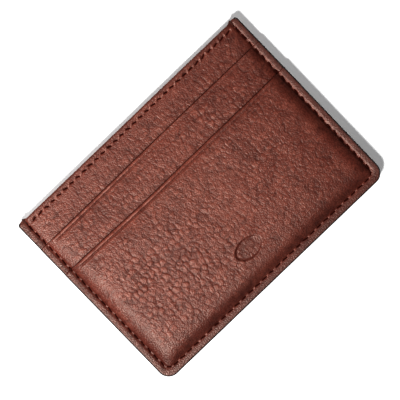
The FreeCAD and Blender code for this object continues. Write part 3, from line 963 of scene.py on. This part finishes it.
def stitch_path(stitches, over_edge, outer=True, sunk=0.10):
    """Points of one thread: up through a hole, along the leather in its
    trench, and down through the next hole."""
    pts = []
    if over_edge:                                    # from the edge over to the first hole
        x, y = stitches[0][0], stitches[0][1]
        top = float(seam_top(np.array([x]), np.array([y]))[0])
        edge = MOUTH["panel"] + 0.30
        pts += [(x + 0.02, edge + 0.12, 0.0), (x + 0.02, edge + 0.14, top * 0.6),
                (x + 0.0, edge - 0.06, top + 0.16), (x, edge - 0.8, top + 0.14),
                (x, y + 0.9, top + 0.06), (x, y + 0.35, top - 0.05)]
    for k, (ax, ay, bx, by) in enumerate(stitches):
        n = math.hypot(bx - ax, by - ay)
        mx, my = (ax + bx) / 2, (ay + by) / 2
        kind, ang, length = stitch_shape(k, ax, ay, bx, by)
        c, s = math.cos(ang), math.sin(ang)
        length = length + 0.20
        half = length / 2

        def at(u):
            return mx + c * u, my + s * u

        za = float(seam_top(np.array([at(-half)[0]]), np.array([at(-half)[1]]))[0])
        zb = float(seam_top(np.array([at(half)[0]]), np.array([at(half)[1]]))[0])
        foot_a = (ax + (mx - ax) * 0.12, ay + (my - ay) * 0.12)
        foot_b = (bx + (mx - bx) * 0.12, by + (my - by) * 0.12)
        pts.append((*foot_a, za - 0.62))
        pts.append((*at(-half - 0.02), za - 0.34))
        for f in (-0.86, -0.5, 0.0, 0.5, 0.86):
            u = half * f
            x, y = at(u)
            z = float(seam_top(np.array([x]), np.array([y]))[0])
            high = max(z, za + (zb - za) * smooth(np.array([(f + 1) / 2]))[0])
            lift = -sunk + 0.07 * (1 - abs(f) ** 2.2)
            pts.append((x, y, high + lift))
        pts.append((*at(half + 0.02), zb - 0.34))
        pts.append((*foot_b, zb - 0.62))
    if over_edge:
        x, y = stitches[-1][2], stitches[-1][3]
        top = float(seam_top(np.array([x]), np.array([y]))[0])
        edge = MOUTH["panel"] + 0.30
        pts += [(x, y + 0.35, top - 0.05), (x, y + 0.9, top + 0.06), (x, edge - 0.8, top + 0.14),
                (x, edge - 0.06, top + 0.16), (x - 0.02, edge + 0.14, top * 0.6),
                (x - 0.02, edge + 0.12, 0.0)]
    return pts


def thread_piece(name, node, paths, back, radius=0.118, lay=0.090):
    verts, faces, base = [], [], 0
    for path in paths:
        v, f = twisted(path, radius, lay, 0.78)
        verts.append(v)
        faces += [[k + base for k in face] for face in f]
        base += len(v)
    verts = np.concatenate(verts)
    if back:
        verts[:, 2] = MID_Z - verts[:, 2]
        faces = [list(reversed(face)) for face in faces]
    else:
        verts[:, 2] = MID_Z + verts[:, 2]
    obj = new_object(name, verts, faces, THREAD)
    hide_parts(node)
    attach(obj, "root")
    return obj


def tack_path(sign):
    """The seam's first stitches are sewn twice: a second lay beside the first,
    from the fold down to the third hole."""
    pts = []
    ys = [HEM_Y - k * (HEM_Y - CUT_Y) / SIDE_N for k in range(3)]
    edge = MOUTH["panel"] + 0.30
    x0 = sign * (SEAM_X + 0.24)

    def top(x, y):
        return float(seam_top(np.array([x]), np.array([y]))[0])

    t = top(x0, ys[0])
    pts += [(x0, edge + 0.10, 0.0), (x0, edge + 0.13, t * 0.6), (x0, edge - 0.08, t + 0.14), (x0, edge - 0.8, t + 0.12),
            (x0 - sign * 0.06, ys[0] + 0.6, t + 0.03), (x0 - sign * 0.18, ys[0] + 0.1, t - 0.30)]
    for k, (a, b) in enumerate(zip(ys[:-1], ys[1:])):
        u = x0 - sign * (0.02 + 0.05 * k)
        for f, lift in ((0.10, -0.34), (0.24, -0.10), (0.5, -0.02), (0.76, -0.10), (0.90, -0.34)):
            y = a + (b - a) * f
            pts.append((u + sign * 0.13 * math.sin(6 * f + 2.1 * k + sign), y, top(u, y) + lift))
    return pts


for back, word in ((False, "front"), (True, "back")):
    thread_piece("%s_seam_thread" % word,
                 "perimeter_bobbin_thread" if back else "perimeter_needle_thread",
                 [stitch_path(PERIMETER, True), tack_path(-1), tack_path(1)], back)
    thread_piece("%s_hem_thread" % word, "%s_hem_needle_thread" % word,
                 [stitch_path(HEM, False)], back)

# inside the centre pocket the hem's second thread lies on the panel's inner face
for back, word in ((False, "front"), (True, "back")):
    pts = []
    for k, (ax, ay, bx, by) in enumerate(HEM):
        if abs(ax) > 41 or abs(bx) > 41:
            continue
        inner = float(base_height("panel", np.array([(ax + bx) / 2]), np.array([ay]))[0]) - THICK["panel"]
        pts += [(ax + 0.2, ay, inner + 0.25), (ax + 0.5, ay, inner - 0.10), ((ax + bx) / 2, ay, inner - 0.17),
                (bx - 0.5, by, inner - 0.10), (bx - 0.2, by, inner + 0.25)]
    thread_piece("%s_hem_inner_thread" % word, "%s_hem_bobbin_thread" % word, [pts], back,
                 radius=0.095, lay=0.075)


# ------------------------------------------------------------------- edge paint
def edge_band():
    """Painted edge round both sides and the bottom, as a swept closed band."""
    path = []
    r = CORNER_R
    y_top = MOUTH["panel"] + 0.30
    cut = TOP_R
    for k in range(9):                               # top left corner
        a = math.pi / 2 + k * math.pi / 2 / 8
        path.append((-HALF_X + cut + cut * math.cos(a), y_top - cut + cut * math.sin(a)))
    for y in np.arange(y_top - cut - 0.4, BOTTOM_Y + r, -0.4):
        path.append((-HALF_X, y))
    for k in range(17):
        a = math.pi + k * math.pi / 2 / 16
        path.append((-HALF_X + r + r * math.cos(a), BOTTOM_Y + r + r * math.sin(a)))
    for x in np.arange(-HALF_X + r + 0.5, 0, 0.5):
        path.append((x, BOTTOM_Y))
    path = path + [(-x, y) for x, y in reversed(path)]
    p = np.array(path)
    t = np.gradient(p, axis=0)
    t /= np.maximum(np.linalg.norm(t, axis=1, keepdims=True), 1e-9)
    inward = np.column_stack([-t[:, 1], t[:, 0]])
    y = p[:, 1]
    s = np.concatenate([[0], np.cumsum(np.linalg.norm(np.diff(p, axis=0), axis=1))])
    top = (EDGE["panel"] + (EDGE["upper"] - EDGE["panel"]) * smooth((MOUTH["upper"] + 0.15 - y) / 0.5)
           + (EDGE["lower"] - EDGE["upper"]) * smooth((MOUTH["lower"] + 0.35 - y) / 0.5))
    top = top + 0.02 * perlin(s / 3.0, s * 0 + 0.5, 91)
    profile = [(0.72, -0.40), (0.58, -0.10), (0.44, -0.015), (0.30, -0.01), (0.16, -0.08), (0.06, -0.20),
               (0.01, -0.38), (0.0, -0.62)]
    rings = []
    half = []
    for inset, dz in profile:
        wav = 0.015 * perlin(s / 1.7, s * 0 + inset * 9, 92)
        half.append((inset + np.abs(wav), top + dz))
    ridge = [(0.03, 0.35), (0.0, 0.0), (0.03, -0.35)]
    stations = [(i, z) for i, z in half]
    stations += [(np.full(len(s), i), top * z) for i, z in ridge]
    stations += [(i, -z) for i, z in reversed(half)]
    for inset, z in stations:
        ins = np.asarray(inset)
        rings.append(np.column_stack([p + inward * (ins[:, None] if ins.ndim else ins), z]))
    m, n = len(p), len(rings)
    verts = np.concatenate(rings)
    faces = []
    for a in range(n):
        b = (a + 1) % n
        for i in range(m - 1):
            faces.append([a * m + i, a * m + i + 1, b * m + i + 1, b * m + i])
    faces.append([a * m for a in range(n)])
    faces.append([a * m + m - 1 for a in range(n)][::-1])
    verts[:, 2] += MID_Z
    obj = new_object("painted_edge", verts, faces, PAINT)
    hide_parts("edge_paint")
    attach(obj, "root")
    return obj


edge_band()

# ------------------------------------------------------------------------ stage
floor_mesh = bpy.data.meshes.new("floor")
floor_mesh.from_pydata([(-3, -3, 0), (3, -3, 0), (3, 3, 0), (-3, 3, 0)], [], [(0, 1, 2, 3)])
floor = bpy.data.objects.new("floor", floor_mesh)
bpy.context.scene.collection.objects.link(floor)
floor_material = Nodes("floor_white")
floor_material.bsdf.inputs["Base Color"].default_value = (0.86, 0.86, 0.86, 1)
floor_material.bsdf.inputs["Roughness"].default_value = 0.9
floor_material.bsdf.inputs["Specular IOR Level"].default_value = 0.1
floor_mesh.materials.append(floor_material.m)

world = bpy.data.worlds.new("world")
bpy.context.scene.world = world
world.use_nodes = True
wt = world.node_tree
back_node = next(n for n in wt.nodes if n.type == "BACKGROUND")
back_node.inputs["Color"].default_value = (0.95, 0.97, 1.0, 1)
back_node.inputs["Strength"].default_value = 0.07


def area(name, direction, distance, size, watts, colour=(1, 1, 1)):
    light = bpy.data.lights.new(name, "AREA")
    light.shape = "RECTANGLE"
    light.size, light.size_y = size
    light.energy = watts
    light.color = colour
    obj = bpy.data.objects.new(name, light)
    bpy.context.scene.collection.objects.link(obj)
    d = Vector(direction).normalized()
    obj.location = Vector((0, 0, 0.004)) + d * distance
    obj.rotation_euler = d.to_track_quat("Z", "Y").to_euler()
    return obj


area("key", (-0.50, -0.165, 1.0), 0.6, (0.06, 0.06), 3.9)
side = area("side", (-0.70, 0.62, 0.50), 0.33, (0.22, 0.22), 1.10)
side.data.use_shadow = False
side.visible_glossy = False

# ----------------------------------------------------------------------- camera
cam = bpy.data.cameras.new("camera")
cam.sensor_width = 36.0
cam.lens = 162.8
cam.clip_start, cam.clip_end = 0.01, 20.0
camera = bpy.data.objects.new("camera", cam)
bpy.context.scene.collection.objects.link(camera)
turn = (Matrix.Rotation(math.radians(-43.797), 3, "Z") @ Matrix.Rotation(math.radians(-1.949), 3, "Y")
        @ Matrix.Rotation(math.radians(-2.782), 3, "X"))
place = Vector((0, 0, 4.0)) + turn @ Vector((-0.501, -0.273, 600.0))
camera.matrix_world = Matrix.Translation(place * MM) @ turn.to_4x4()
bpy.context.scene.camera = camera
bpy.context.scene.view_settings.view_transform = "Standard"
bpy.context.scene.view_settings.look = "Medium High Contrast"
